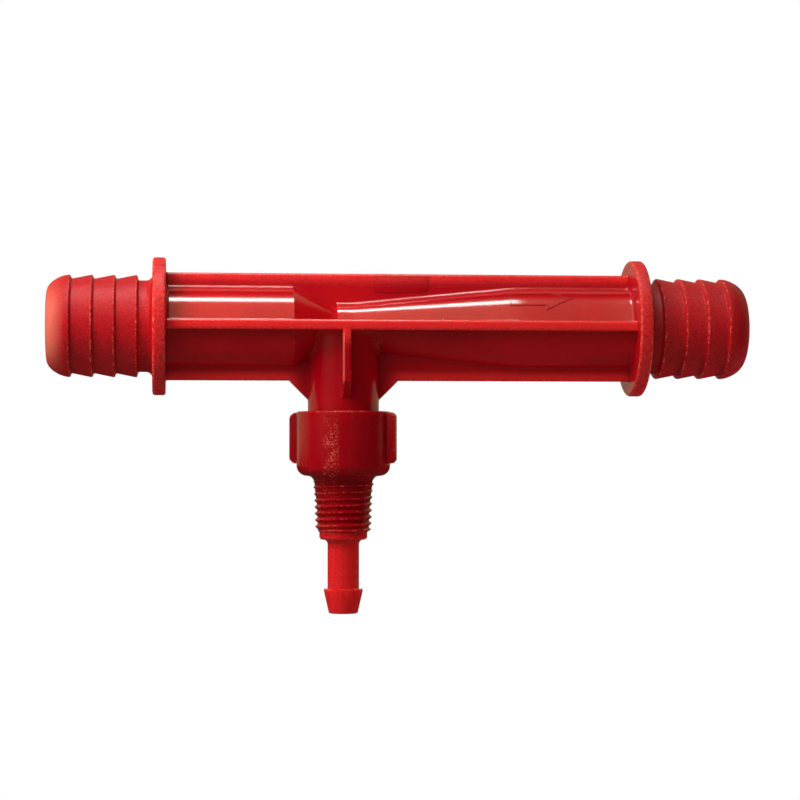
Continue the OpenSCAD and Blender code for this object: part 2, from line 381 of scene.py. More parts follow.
def sector(tubeR, reach, half, edgeRound, crease):
    # an eighth of a ribbed section, from the middle of a rib to halfway between two ribs
    # each point has its share in the round wall: 0 on the rib, 1 on the wall
    footU = math.sqrt((tubeR + crease) ** 2 - (half + crease) ** 2)
    lowest = footU + edgeRound  # a lower rib than this fades into the wall
    shown = min(1, max(0, (reach - tubeR) / (lowest - tubeR)))
    reach = max(reach, lowest)
    footAngle = math.degrees(math.atan2(half + crease, footU))
    edge = [(reach, 0)] + arc((reach - edgeRound, half - edgeRound), edgeRound, 0, 90, sectorSteps["edge"])
    flank = [(reach - edgeRound + (footU - reach + edgeRound) * k / sectorSteps["flank"], half)
             for k in range(1, sectorSteps["flank"])]
    foot = arc((footU, half + crease), crease, 270, 180 + footAngle, sectorSteps["foot"])
    wall = arc((0, 0), tubeR, footAngle, 45, sectorSteps["tube"])[1:]
    points = [(u, v, 0) for u, v in edge + flank]
    points += [(u, v, k / sectorSteps["foot"]) for k, (u, v) in enumerate(foot)]
    points += [(u, v, 1) for u, v in wall]
    faded = []
    for u, v, share in points:
        fit = shown + (1 - shown) * tubeR / math.hypot(u, v)
        faded.append((u * fit, v * fit, share))
    return faded


def crossSection(first, second):
    # a whole section with the first kind of rib along u and the second along v
    outline = []
    for quarter in range(4):
        here, there = (first, second) if quarter % 2 == 0 else (second, first)
        points = here + [(v, u, share) for u, v, share in reversed(there)][1:-1]
        for u, v, share in points:
            for _ in range(quarter):
                u, v = -v, u
            outline.append((u, v, share))
    return outline


# any sizes do here, since every section has as many points
sampleEighth = sector(tubeR=8, reach=12, half=1, edgeRound=0.3, crease=0.4)
ringCount = len(crossSection(sampleEighth, sampleEighth))


def roundRing(x, r):
    turns = [2 * math.pi * k / ringCount for k in range(ringCount)]
    return [Vector((x, r * math.cos(a), r * math.sin(a))) for a in turns]


# Injector body

barb = {
    "crestR": mounts["inlet_barb"]["dims"]["r_mm"],
    "valleyR": 10.3,
    "neckR": 9.95,
    "neckLen": 3.3,
    "neckFillet": 1.4,
    "crests": 4,
    "pitch": 4.8,
    "land": mounts["inlet_barb"]["dims"]["length_mm"],
    "chamfer": 0.07,
    "back": 0.3,  # run of the sloped back of each crest
    "footFillet": 0.3,
    "noseLen": 4.7,
    "nosePower": 1.5,
    "noseSteps": 12,
    "lipR": 7.3,
    "waver": 0.035,  # how far the moulded crests run out of round
    "waverScale": (0.9, 0.35, 0.35),
}
flange = {"r": bodyHigh.y, "t": 2.9, "round": 0.6, "support": 0.15}
tube = {
    "r": 8.75,
    "inletLen": 27.5,
    "coneLen": 9.6,
    "nozzleR": 4.0,
    "throatR": 5.3,
    "throatLen": 3.6,
    "diffuserLen": 35.4,
    "diffuserBend": 3.0,
    "stepRun": 0.02,
    "ringGap": 0.3,  # rings close to an edge keep its wear and its shading to itself
    "inletRings": (8, 18),
    "diffuserRings": (6, 18),
    "outletRings": (10, 18),
    "fillet": 0.8,
    "filletSteps": 6,
    "ribReach": 11.75,
    "ribHalf": 1.125,
    "ribRound": 0.62,
    "ribFillet": 0.4,
    "crease": 0.45,
}
stem = {
    "r": 7.8,
    "end": bodyLow.z,
    "chamfer": 0.3,
    "gussetEnd": -15.95,
    "gussetLeg": 4.2,
    "finHalf": 0.925,
    "inset": 0.025,  # keeps the plates just inside the ribs that they join
    "edgeRound": 0.45,
    "crease": 0.4,
    "flare": 0.9,
    "top": -0.9,
    "step": 0.35,
    "lead": 0.3,  # how far under the gussets the close rings begin
}
bore = {
    "mouthR": 7.0,
    "mainR": 6.6,
    "nozzleR": 2.3,
    "nozzleLand": 1.2,
    "throatR": 3.2,
    "lipRound": 0.2,
    "passageR": 1.4,
    "chamberR": 4.3,
    "chamberDepth": 13.4,
    "over": 1.0,
    "sides": 96,
    "chamberSides": 64,
}

barbLen = barb["neckLen"] + barb["land"] + (barb["crests"] - 1) * barb["pitch"] + barb["noseLen"]
inletFace = bodyLow.x + barbLen
tubeStart = inletFace + flange["t"]
coneStart = tubeStart + tube["inletLen"]
nozzleX = coneStart + tube["coneLen"]
throatEnd = nozzleX + tube["throatLen"]
diffuserEnd = throatEnd + tube["diffuserLen"]
outletFace = bodyHigh.x - barbLen
tubeEnd = outletFace - flange["t"]
tubeMiddle, tubeHalf = (tubeStart + tubeEnd) / 2, (tubeEnd - tubeStart) / 2


def barbProfile():
    # points as distance out of the flange face and radius
    neck, cut = barb["neckFillet"], barb["chamfer"]
    points = arc((barb["neckR"] + neck, neck), neck, 270, 180, steps=6)
    foot = barb["footFillet"]
    for k in range(barb["crests"]):
        start = barb["neckLen"] + k * barb["pitch"]
        footR = barb["valleyR"] if k else barb["neckR"]
        slope = math.degrees(math.atan2(barb["crestR"] - footR, barb["back"]))
        ahead = foot * math.tan(math.radians(slope / 2))  # where the fillet leaves the valley
        points += arc((footR + foot, start - barb["back"] - ahead), foot, 180, 180 - slope, steps=4)
        points += [(barb["crestR"] - cut, start), (barb["crestR"], start + cut),
                   (barb["crestR"], start + barb["land"])]
    for k in range(1, barb["noseSteps"] + 1):
        t = math.sin(math.radians(90 * k / barb["noseSteps"]))
        fall = math.sqrt(max(0, 1 - t ** barb["nosePower"]))
        points.append((barb["lipR"] + (barb["crestR"] - barb["lipR"]) * fall,
                       barbLen - barb["noseLen"] * (1 - t)))
    return [(out, r) for r, out in points]


def barbRing(x, r):
    # the crests waver a little, as on a worn mould
    ring = roundRing(x, r)
    share = max(0, (r - barb["valleyR"]) / (barb["crestR"] - barb["valleyR"]))
    for point in ring:
        sway = noise.noise(point * Vector(barb["waverScale"]))
        scale = 1 - barb["waver"] * share * abs(sway) / r
        point.y, point.z = point.y * scale, point.z * scale
    return ring


def flangeProfile(face):
    r, edge, near = flange["r"], flange["round"], flange["support"]
    points = [(barb["neckR"] + barb["neckFillet"] + near, face), (r - edge - near, face)]
    points += arc((r - edge, face + edge), edge, 270, 360, steps=5)
    points += arc((r - edge, face + flange["t"] - edge), edge, 0, 90, steps=5)
    points.append((r - edge - near, face + flange["t"]))
    return [(x, radius) for radius, x in points]


def tubeRadius(x):
    slope = (tube["r"] - tube["throatR"]) / tube["diffuserLen"]
    bend = tube["diffuserBend"]
    if x <= coneStart:
        return tube["r"]
    if x <= nozzleX:
        return tube["r"] - (tube["r"] - tube["nozzleR"]) * (x - coneStart) / tube["coneLen"]
    if x <= throatEnd:
        return tube["throatR"]
    if x <= diffuserEnd - bend:
        return tube["throatR"] + slope * (x - throatEnd)
    if x <= diffuserEnd + bend:
        return tube["r"] - slope * (diffuserEnd + bend - x) ** 2 / (4 * bend)
    return tube["r"]


def ribbedRing(x, tubeR, grow=0):
    eighth = sector(tubeR, tube["ribReach"] + grow, tube["ribHalf"] + grow,
                    tube["ribRound"], tube["crease"])
    return [Vector((x, u, v)) for u, v, _ in crossSection(eighth, eighth)]


def flangeFoot():
    # how the ribbed section widens as it meets a flange: distance, tube radius and rib growth
    fillet, ribFillet = tube["fillet"], tube["ribFillet"]
    steps = [(0, tube["r"] + fillet + flange["support"], ribFillet + flange["support"])]
    for k in range(tube["filletSteps"] + 1):
        a = math.radians(90 * k / tube["filletSteps"])
        gap = fillet * (1 - math.cos(a))
        rise = max(0, ribFillet - gap)
        steps.append((gap, tube["r"] + fillet * (1 - math.sin(a)),
                      ribFillet - math.sqrt(ribFillet ** 2 - rise ** 2)))
    return steps


def outerRings():
    rings = [barbRing(inletFace - out, r) for out, r in reversed(barbProfile())]
    rings += [roundRing(x, r) for x, r in flangeProfile(inletFace)]
    rings += [ribbedRing(tubeStart + gap, r, grow) for gap, r, grow in flangeFoot()]
    bend = tube["diffuserBend"]
    near = tube["ringGap"]
    places = [tubeStart + run for run in tube["inletRings"]]
    places += [coneStart - near, coneStart, coneStart + near, coneStart + tube["coneLen"] / 2,
               nozzleX - near, nozzleX, nozzleX + tube["stepRun"], nozzleX + near / 2,
               throatEnd - near, throatEnd, throatEnd + near]
    places += [throatEnd + run for run in tube["diffuserRings"]]
    places += [diffuserEnd + bend * k / 3 for k in range(-3, 4)]
    places += [diffuserEnd + run for run in tube["outletRings"]]
    rings += [ribbedRing(x, tubeRadius(x)) for x in places]
    rings += [ribbedRing(tubeEnd - gap, r, grow) for gap, r, grow in reversed(flangeFoot())]
    mirrored = [(tubeEnd + outletFace - x, r) for x, r in reversed(flangeProfile(tubeEnd))]
    rings += [roundRing(x, r) for x, r in mirrored]
    rings += [barbRing(outletFace + out, r) for out, r in barbProfile()]
    return rings


def stemRings():
    heights = [stem["gussetEnd"] - stem["lead"]]
    while heights[-1] < stem["top"] - stem["step"]:
        heights.append(heights[-1] + stem["step"])
    levels = [(stem["end"], stem["r"] - stem["chamfer"]), (stem["end"] + stem["chamfer"], stem["r"])]
    levels += [(z, stem["r"]) for z in heights + [stem["top"]]]
    rings = []
    for z, r in levels:
        lift = max(0, z - stem["gussetEnd"])
        side = sector(r, r + min(lift, stem["gussetLeg"]), tube["ribHalf"] - stem["inset"],
                      stem["edgeRound"], stem["crease"])
        front = sector(r, min(r + lift, tube["ribReach"] - stem["inset"]), stem["finHalf"],
                       stem["edgeRound"], stem["crease"])
        ring = []
        for u, v, share in crossSection(side, front):
            # the stem widens where it nears the tube or the underside of the ribs
            gap = min(math.hypot(v, z) - tubeRadius(suctionX + u), -tube["ribHalf"] - z)
            near = min(stem["flare"], max(0, stem["flare"] - gap))
            wider = stem["flare"] - math.sqrt(stem["flare"] ** 2 - near ** 2)
            fit = 1 + share * wider / r
            ring.append(Vector((suctionX + u * fit, v * fit, z)))
        rings.append(ring)
    return rings


def boreProfile():
    lip = bore["lipRound"]
    points = [(bodyLow.x - bore["over"], 0), (bodyLow.x - bore["over"], bore["mouthR"] + lip),
              (bodyLow.x, bore["mouthR"] + lip), (bodyLow.x + lip, bore["mouthR"]),
              (inletFace, bore["mouthR"]), (coneStart, bore["mainR"]),
              (nozzleX - bore["nozzleLand"], bore["nozzleR"]), (nozzleX, bore["nozzleR"]),
              (nozzleX, bore["throatR"]), (throatEnd, bore["throatR"]), (diffuserEnd, bore["mainR"]),
              (outletFace, bore["mouthR"]), (bodyHigh.x - lip, bore["mouthR"]),
              (bodyHigh.x, bore["mouthR"] + lip), (bodyHigh.x + bore["over"], bore["mouthR"] + lip),
              (bodyHigh.x + bore["over"], 0)]
    return [(x, 0, r) for x, r in points]


def chamberProfile():
    top = stem["end"] + bore["chamberDepth"]
    points = [(0, 0), (bore["passageR"], 0), (bore["passageR"], top), (bore["chamberR"], top),
              (bore["chamberR"], stem["end"] - bore["over"]), (0, stem["end"] - bore["over"])]
    return [(suctionX + r, 0, z) for r, z in points]


def makeBody():
    obj = loft(outerRings())
    combine(obj, loft(stemRings()), "UNION")
    combine(obj, turn(boreProfile(), (0, 0, 0), (1, 0, 0), bore["sides"]), "DIFFERENCE")
    chamber = turn(chamberProfile(), (suctionX, 0, 0), (0, 0, 1), bore["chamberSides"])
    combine(obj, chamber, "DIFFERENCE")
    markEdges(obj)
    return obj


bodyLook = {  # places in millimetres
    "satinIn": 0.6,  # the gloss ends so far inside the flanges' faces,
    "satinOut": 0.4,  # and all is satin so far past them
    "webY": (1.3, 1.6),
    "webZ": (8.4, 9.2),
    "webSatin": 0.5,
    "specks": (900, 4, 0.7),
    "patches": (45, 2),
    "stray": (0.69, 0.74),
    "strayPatches": (0.5, 0.65),
    "strayShare": 0.5,
    # places of the painted highlight on the front of the inlet nose
    "noseX": (0.8, 4.6),
    "noseY": (-7, 2),
    "noseZ": (3, 13),
    "noseDrop": 1,
    "noseLip": 0.8,
    "rubbed": 0.52,
    "rubbedSpecks": 0.25,
    "finIn": 0.12,  # the painted highlight line lies so far inside the fin's left side
    "finX": (0.16, 0.34),
    "finY": (-11.2, -10.8),
    "finZ": (-2.2, -1.5),
    "finPale": 0.2,
    "finSpecks": 0.4,
    # places of the painted glow on the ribs and rims and of the painted shade on the suction stem
    "wallIn": 0.5,
    "ribR": (9.2, 11),
    "rimIn": (0.8, 0.2),
    "stemX": (8, 13),
    "stemZ": (-6, -1.2),
    "thinRibs": 0.95,
    "thinRims": 0.6,
    "thickStem": 0.6,
}


def bodySatin(sheet, place):
    # the hose barbs and flanges are satin, the tube between them is polished, the upper rib is half grained
    look = bodyLook
    x, y, z = sheet.axes(place)
    ends = abs(x - tubeMiddle * mm).span(tubeHalf - look["satinIn"], tubeHalf + look["satinOut"])
    web = (1 - abs(y).span(*look["webY"])) * z.span(*look["webZ"])
    return ends.most(web * look["webSatin"])


def bodyScuffsAndHighlights(sheet, place):
    # stray scuffs, a painted highlight on the front of the inlet nose, and a painted highlight line down the left
    # edge of the front fin
    look = bodyLook
    x, y, z = sheet.axes(place)
    r = (y * y + z * z) ** 0.5
    specks = sheet.noise(place, *look["specks"])
    patches = sheet.noise(place, *look["patches"])
    stray = specks.ramp(*look["stray"]) * patches.ramp(*look["strayPatches"]) * look["strayShare"]
    # painted highlight on the front of the inlet nose
    nose = 1 - x.span(*(bodyLow.x + run for run in look["noseX"]))
    around = 1 - abs(z + look["noseDrop"] * mm).span(*look["noseZ"])
    outside = r.span(bore["mouthR"], barb["lipR"] + look["noseLip"])
    rubbed = (nose * around * outside * (1 - y.span(*look["noseY"]))
              * (look["rubbed"] + look["rubbedSpecks"] * specks))
    # painted highlight line down the left edge of the front fin
    edgeX = suctionX - stem["finHalf"] + look["finIn"]
    finEdgeHighlight = (1 - abs(x - edgeX * mm).span(*look["finX"])) * (1 - y.span(*look["finY"]))
    finEdgeHighlight = finEdgeHighlight * (1 - z.span(*look["finZ"])) * (look["finPale"] + look["finSpecks"] * specks)
    return stray + rubbed + finEdgeHighlight


def bodyPaintedLight(sheet, place):
    # painted glow, a paler red on the ribs and the flange rims, and painted shade, a darker red on the suction
    # stem
    look = bodyLook
    x, y, z = sheet.axes(place)
    r = (y * y + z * z) ** 0.5
    between = 1 - abs(x - tubeMiddle * mm).span(tubeHalf - look["wallIn"], tubeHalf)
    ribs = r.span(*look["ribR"]) * between
    rims = r.span(*(flange["r"] - run for run in look["rimIn"])) * (1 - between)
    stemZone = (1 - abs(x - suctionX * mm).span(*look["stemX"])) * (1 - z.span(*look["stemZ"]))
    thin = ribs * (1 - stemZone) * look["thinRibs"] + rims * look["thinRims"]
    return thin, stemZone * look["thickStem"]


bodyFinish = redMoulding("redMoulding", bodySatin, bodyScuffsAndHighlights, bodyPaintedLight)
finishPiece(makeBody(), "injectorBody", bodyFinish, "injector", "injector_body")


# Suction cap with its wings, pipe thread and small hose barb

cap = {
    "top": capHigh.z,
    "end": capLow.z,
    "r": 10.27,
    "topRound": 0.4,
    "base": -32.55,
    "baseRound": 2.3,
    "boreR": 7.92,
    "mouthChamfer": 0.3,
    "floor": -29.05,
    "seatR": 3.3,
    "tailBoreR": 1.6,
    "grooveR": 6.05,
    "grooveW": 1.64,
    "grooveDeep": 0.6,
    "sides": 144,
    "hollowSides": 96,
}
wing = {
    "proud": 1.9,
    "t": 2.8,
    "len": 11.2,
    "drop": 0.2,
    "corner": 1.5,
    "cornerSteps": 7,
    "round": 0.4,
    "roundSteps": 4,
    "turn": -22,
}
thread = {
    "topR": mounts["suction_thread"]["dims"]["r_mm"],
    "endR": 5.9,
    "len": mounts["suction_thread"]["dims"]["length_mm"],
    "pitch": 1.42,
    "deep": 0.55,
    "proud": 0.2,  # how far the crests stand over the cone
    "crest": 0.16,
    "root": 0.2,
    "early": 1.176,  # turns under the thread's end where the tooth starts, which sets where crests fall
    "lead": 0.35,  # share of a turn over which the tooth grows at the lower end
    "dive": 0.5,  # run over which its root sinks into the plain end
    "fadeGap": 0.2,  # bare run next to the cap
    "swell": 0.45,  # growth of the thread's radius next to the cap
    "swellLen": 3.1,
    "stepsPerTurn": 72,
    "embed": 0.15,
    "fillet": 1.6,
    "coreTop": 2.56,  # how far under the cap the bare core begins
}
tail = {
    "pilotR": 5.25,
    "pilotLen": 1.7,
    "pilotRound": 0.7,
    "pilotTuck": 0.6,  # how far the plain end reaches up inside the thread
    "pilotTop": 0.3,
    "r": 3.45,
    "footFillet": 1.0,
    "backFillet": 0.1,
    "crestChamfer": 0.06,
    "boreChamfer": 0.25,
    "crestR": mounts["suction_barb"]["dims"]["r_mm"],
    "land": mounts["suction_barb"]["dims"]["length_mm"],
    "taperLen": 4.9,
    "tipR": 3.25,
    "tipRound": 0.5,
    "seam": 0.07,  # height of the parting line down the tail
    "seamHalf": 1.3,  # degrees to each side
    "seamWall": 0.5,  # nearer to the bore there is none
    "seamTurn": -103,  # where it runs, in degrees round the suction axis
}
threadEnd = cap["base"] - thread["len"]
pilotEnd = threadEnd - tail["pilotLen"]
tailCrest = cap["end"] + tail["taperLen"]
tailBack = tailCrest + tail["land"]


def coreRadius(z):
    down = cap["base"] - z
    cone = thread["topR"] + (thread["endR"] - thread["topR"]) * down / thread["len"]
    swell = thread["swell"] * max(0, 1 - down / thread["swellLen"])
    return cone + thread["proud"] - thread["deep"] + swell


def capProfile():
    core = coreRadius(cap["base"]) - thread["embed"]
    fillet, foot, edge = thread["fillet"], tail["footFillet"], tail["pilotRound"]
    top, base, tip = cap["topRound"], cap["baseRound"], tail["tipRound"]
    points = [(0, cap["top"]), (cap["r"] - 2 * top, cap["top"])]
    points += arc((cap["r"] - top, cap["top"] - top), top, 90, 0, steps=5)
    points += arc((cap["r"] - base, cap["base"] + base), base, 0, -90, steps=7)
    points += arc((thread["topR"] + fillet, cap["base"] - fillet), fillet, 90, 180, steps=5)
    points += [(core, cap["base"] - thread["coreTop"]),
               (tail["pilotR"] - thread["embed"], threadEnd + tail["pilotTuck"]),
               (tail["pilotR"], threadEnd + tail["pilotTop"])]
    points += arc((tail["pilotR"] - edge, pilotEnd + edge), edge, 0, -90, steps=5)
    points += arc((tail["r"] + foot, pilotEnd - foot), foot, 90, 180, steps=5)
    points += [(tail["r"], tailBack + tail["backFillet"]), (tail["r"] + tail["backFillet"], tailBack),
               (tail["crestR"] - tail["crestChamfer"], tailBack),
               (tail["crestR"], tailBack - tail["crestChamfer"]), (tail["crestR"], tailCrest)]
    points += arc((tail["tipR"] - tip, cap["end"] + tip), tip, 0, -90, steps=5)
    points.append((0, cap["end"]))
    return [(suctionX + r, 0, z) for r, z in points]


def hollowProfile():
    over, mouth, cut = bore["over"], cap["mouthChamfer"], tail["boreChamfer"]
    wide, narrow = cap["boreR"], cap["tailBoreR"]
    points = [(0, cap["top"] + over), (wide + mouth + over, cap["top"] + over), (wide + mouth, cap["top"]),
              (wide, cap["top"] - mouth), (wide, cap["floor"]), (cap["seatR"], cap["floor"]),
              (narrow, cap["floor"] - cap["seatR"] + narrow), (narrow, cap["end"] + cut),
              (narrow + cut, cap["end"]), (narrow + cut, cap["end"] - over), (0, cap["end"] - over)]
    return [(suctionX + r, 0, z) for r, z in points]


def grooveProfile():
    inner, outer = cap["grooveR"] - cap["grooveW"] / 2, cap["grooveR"] + cap["grooveW"] / 2
    low, high = cap["floor"] - cap["grooveDeep"], cap["floor"] + cap["grooveDeep"]
    points = [(inner, high), (outer, high), (outer, low), (inner, low), (inner, high)]
    return [(suctionX + r, 0, z) for r, z in points]


def makeThread():
    # one tooth is drawn, wound up by a Screw modifier and fitted to the taper
    pitch, deep = thread["pitch"], thread["deep"]
    rootR = coreRadius(threadEnd)
    flank = (pitch - thread["crest"] - thread["root"]) / 2
    low = thread["root"] / 2
    rise = [(rootR, 0), (rootR, low), (rootR + deep / 2, low + flank / 2), (rootR + deep, low + flank)]
    tooth = rise + [(r, pitch - z) for r, z in reversed(rise)]
    obj = drawLine([(r, 0, z) for r, z in tooth])
    bpy.ops.object.mode_set(mode="OBJECT")
    bpy.ops.object.modifier_add(type="SCREW")
    screw = obj.modifiers[-1]
    screw.axis, screw.screw_offset = "Z", pitch
    screw.steps = screw.render_steps = thread["stepsPerTurn"]
    screw.iterations = math.ceil(thread["len"] / pitch) + 1
    screw.use_merge_vertices, screw.merge_threshold = True, 2 * weldGap
    bpy.ops.object.modifier_apply(modifier=screw.name)
    start = threadEnd - pitch * thread["early"]
    for vert in obj.data.vertices:
        r = math.hypot(vert.co.x, vert.co.y)
        z = start + vert.co.z
        # the tooth grows out of the plain end and fades next to the cap
        lead = min(1, max(0, (z - threadEnd) / pitch / thread["lead"]))
        fade = min(1, max(0, (cap["base"] - thread["fadeGap"] - z) / pitch))
        fitted = coreRadius(z) + (r - rootR) * lead * fade - thread["embed"] * (1 - min(lead, fade))
        # under the thread's end the root sinks into the plain end
        fitted -= min(1, max(0, (threadEnd - z) / thread["dive"])) * tail["pilotRound"]
        vert.co.x, vert.co.y, vert.co.z = vert.co.x * fitted / r, vert.co.y * fitted / r, z
    obj.location.x = suctionX
    bpy.ops.object.transform_apply(location=True)
    bpy.ops.object.mode_set(mode="EDIT")
    bpy.ops.mesh.select_all(action="SELECT")
    bpy.ops.mesh.fill_holes(sides=0)
    closeMesh()
    return obj


def makeWings():
    bpy.ops.mesh.primitive_cube_add(size=1)
    obj = startEdit()
    bpy.ops.transform.resize(value=(2 * (cap["r"] + wing["proud"]), wing["t"], wing["len"]))
    roundCorners(obj, wing)
    obj.rotation_euler.z = math.radians(wing["turn"])
    obj.location = (suctionX, 0, cap["top"] - wing["drop"] - wing["len"] / 2)
    bpy.ops.object.transform_apply(location=True, rotation=True)
    return obj


def raiseSeam(obj):
    # the two halves of the mould leave a fine ridge down opposite sides of the tail
    for vert in obj.data.vertices:
        side = vert.co.x - suctionX
        r = math.hypot(side, vert.co.y)
        off = (math.degrees(math.atan2(vert.co.y, side)) - tail["seamTurn"] + 90) % 180 - 90
        if vert.co.z < threadEnd and r > cap["tailBoreR"] + tail["seamWall"] and abs(off) < tail["seamHalf"]:
            grow = (r + tail["seam"]) / r
            vert.co.x, vert.co.y = suctionX + side * grow, vert.co.y * grow


def makeCap():
    axis = (suctionX, 0, 0)
    obj = turn(capProfile(), axis, (0, 0, 1), cap["sides"])
    raiseSeam(obj)
    combine(obj, makeWings(), "UNION")
    combine(obj, makeThread(), "UNION")
    for profile in (hollowProfile(), grooveProfile()):
        combine(obj, turn(profile, axis, (0, 0, 1), cap["hollowSides"]), "DIFFERENCE")
    markEdges(obj)
    return obj


capLook = {  # places in millimetres
    "streaks": (230, 2, 0.5),
    "streakStretch": (1, 1, 0.1),
    "streaked": (0.4, 0.65),
    "satin": 0.12,
    "streakSatin": 0.3,
    "bandX": -3.4,
    "bandHalf": (0.8, 2.2),
    "bandY": (-5, 0),
    "bandUp": 5,
    "bandZ": (4, 10),
    "bandLeast": 0.15,
    "clusters": (420, 2),
    "clustered": (0.32, 0.52),
    "specks": (2600, 3, 0.7),
    "specked": (0.53, 0.61),
    "scuffShare": 0.7,
    # where glow and shade are painted: a paler red on the tail, a darker red on the thread and less of it round
    # the cap
    "tailDown": 1,  # the tail's tone is whole so far under the plain end,
    "tailUp": 3,  # and gone so far above the thread's end
    "capZ": (-1, 3),
    "thinTail": 0.6,
    "thickThread": 0.95,
    "capLess": 0.25,
    "glow": 0.85,
}


def capSatin(sheet, place):
    look = capLook
    streaks = sheet.noise(sheet.stretch(place, look["streakStretch"]), *look["streaks"])
    return look["satin"] + streaks.ramp(*look["streaked"]) * look["streakSatin"]


def capScuffs(sheet, place):
    # handling marks in a band down the left of the cap's front
    look = capLook
    x, y, z = sheet.axes(place)
    band = 1 - abs(x - (suctionX + look["bandX"]) * mm).span(*look["bandHalf"])
    lower = 1 - abs(z - (cap["base"] + look["bandUp"]) * mm).span(*look["bandZ"])
    clusters = sheet.noise(place, *look["clusters"])
    specks = sheet.noise(place, *look["specks"])
    shown = (band * (1 - y.span(*look["bandY"])) * (look["bandLeast"] + (1 - look["bandLeast"]) * lower)
             * clusters.ramp(*look["clustered"]))
    return shown * specks.ramp(*look["specked"]) * look["scuffShare"]


def capPaintedLight(sheet, place):
    # painted shade at the thread, less of it round the cap, and painted glow on the tail
    look = capLook
    z = sheet.axes(place)[2]
    aboveTail = z.span(pilotEnd - look["tailDown"], threadEnd + look["tailUp"])
    capShare = z.span(*(cap["base"] + run for run in look["capZ"]))
    return (1 - aboveTail) * look["thinTail"], aboveTail * (look["thickThread"] - capShare * look["capLess"])


capFinish = redMoulding("redCapMoulding", capSatin, capScuffs, capPaintedLight, capLook["glow"])
finishPiece(makeCap(), "suctionCap", capFinish, "injector", "suction_cap")


# Flow arrow, a raised line on the front of the tube

arrow = {
    "rearX": 81.1,
    "neckX": 88.9,
    "tipX": 94.3,
    "turn": 44,  # degrees above the horizontal, round the tube
    "shaftHalf": 1.75,
    "headHalf": 2.9,
    "lineHalf": 0.17,
    "high": 0.16,
    "crown": 0.5,  # share of the width that is flat on top
    "shoulder": 0.6,  # share of the height where the slope begins
    "embed": 0.15,
    "step": 0.4,
    "sharpest": 0.4,  # keeps the corners' points short
}


def arrowPath():
    # corners along the flow and round the tube, then points between them at an even step
    rear, neck, tip = arrow["rearX"], arrow["neckX"], arrow["tipX"]
    shaft, head = arrow["shaftHalf"], arrow["headHalf"]
    corners = [(rear, -shaft), (neck, -shaft), (neck, -head), (tip, 0)]
    corners += [(x, -side) for x, side in reversed(corners[:-1])]
    points = []
    for k, here in enumerate(corners):
        there = corners[(k + 1) % len(corners)]
        count = max(1, round(math.dist(here, there) / arrow["step"]))
        points += [Vector(here).lerp(Vector(there), j / count) for j in range(count)]
    return points


def makeArrow():
    path = arrowPath()
    half, high, low = arrow["lineHalf"], arrow["high"], -arrow["embed"]
    flank = [(half * arrow["crown"], high), (half, high * arrow["shoulder"]), (half, low)]
    section = [(-side, lift) for side, lift in reversed(flank)] + flank
    rings = []
    for k in range(len(path) + 1):
        here = path[k % len(path)]
        back = (here - path[k % len(path) - 1]).normalized()
        ahead = (path[(k + 1) % len(path)] - here).normalized()
        across = (Vector((-back.y, back.x)) + Vector((-ahead.y, ahead.x))).normalized()
        # full width round the corners
        across /= max(arrow["sharpest"], across.dot(Vector((-ahead.y, ahead.x))))
        ring = []
        for side, lift in section:
            x, s = here + across * side
            angle = math.radians(arrow["turn"]) + s / tube["r"]
            r = tubeRadius(x) + lift
            ring.append(Vector((x, -r * math.cos(angle), r * math.sin(angle))))
        rings.append(ring)
    return loft(rings, endless=True)


finishPiece(makeArrow(), "flowArrow", bodyFinish, "injector")


# Bare pad on the front of the upper rib

pad = {
    "startX": 51.2,
    "endX": 63.7,
    "low": 7.65,
    "high": 11.35,
    "proud": 0.16,
    "embed": 0.3,
    "corner": 1.5,
    "cornerSteps": 8,
    "round": 0.07,
    "roundSteps": 3,
}


def makePad():
    size = (pad["endX"] - pad["startX"], pad["proud"] + pad["embed"], pad["high"] - pad["low"])
    front = tube["ribHalf"] + pad["proud"]
    bpy.ops.mesh.primitive_cube_add(size=1)
    obj = startEdit()
    bpy.ops.transform.resize(value=size)
    middle = (pad["startX"] + size[0] / 2, size[1] / 2 - front, pad["low"] + size[2] / 2)
    bpy.ops.transform.translate(value=middle)
    roundCorners(obj, pad, pad["low"] + weldGap)
    return obj


finishPiece(makePad(), "ribPad", bodyFinish, "injector")


# Check valve inside the suction port: spring, ball and sealing ring

spring = {
    "wireR": 0.3,
    "turns": 6,
    "coilGap": 0.1,
    "sides": 14,
    "ringsPerTurn": 26,
    "smoothAngle": 40,
    "plain": (0.66, 0.66, 0.67, 1),
    "stained": (0.42, 0.41, 0.40, 1),
    "cloud": (500, 3),
    "clouded": (0.4, 0.75),
    "fine": (900, 3, 0.6),
    "stretch": (1, 1, 9),
    "high": 2e-6,
    "rough": 0.22,
    "cloudRough": 0,
    "fineRough": 0.2,
    "metal": 1,
}
ball = {
    "plain": (0.86, 0.84, 0.78, 1),
    "stained": (0.74, 0.71, 0.62, 1),
    "cloud": (350, 3),
    "clouded": (0.35, 0.7),
    "fine": (2600, 2),
    "stretch": (1, 1, 1),
    "high": 3e-6,
    "rough": 0.3,
    "cloudRough": 0.2,
    "fineRough": 0,
    "metal": 0,
}
seal = {
    "plain": (0.022, 0.022, 0.024, 1),
    "stained": (0.075, 0.073, 0.07, 1),
    "cloud": (420, 4, 0.65),
    "clouded": (0.45, 0.8),
    "fine": (4000, 2),
    "stretch": (1, 1, 1),
    "high": 5e-6,
    "rough": 0.6,
    "cloudRough": 0.3,
    "fineRough": 0,
    "metal": 0,
}


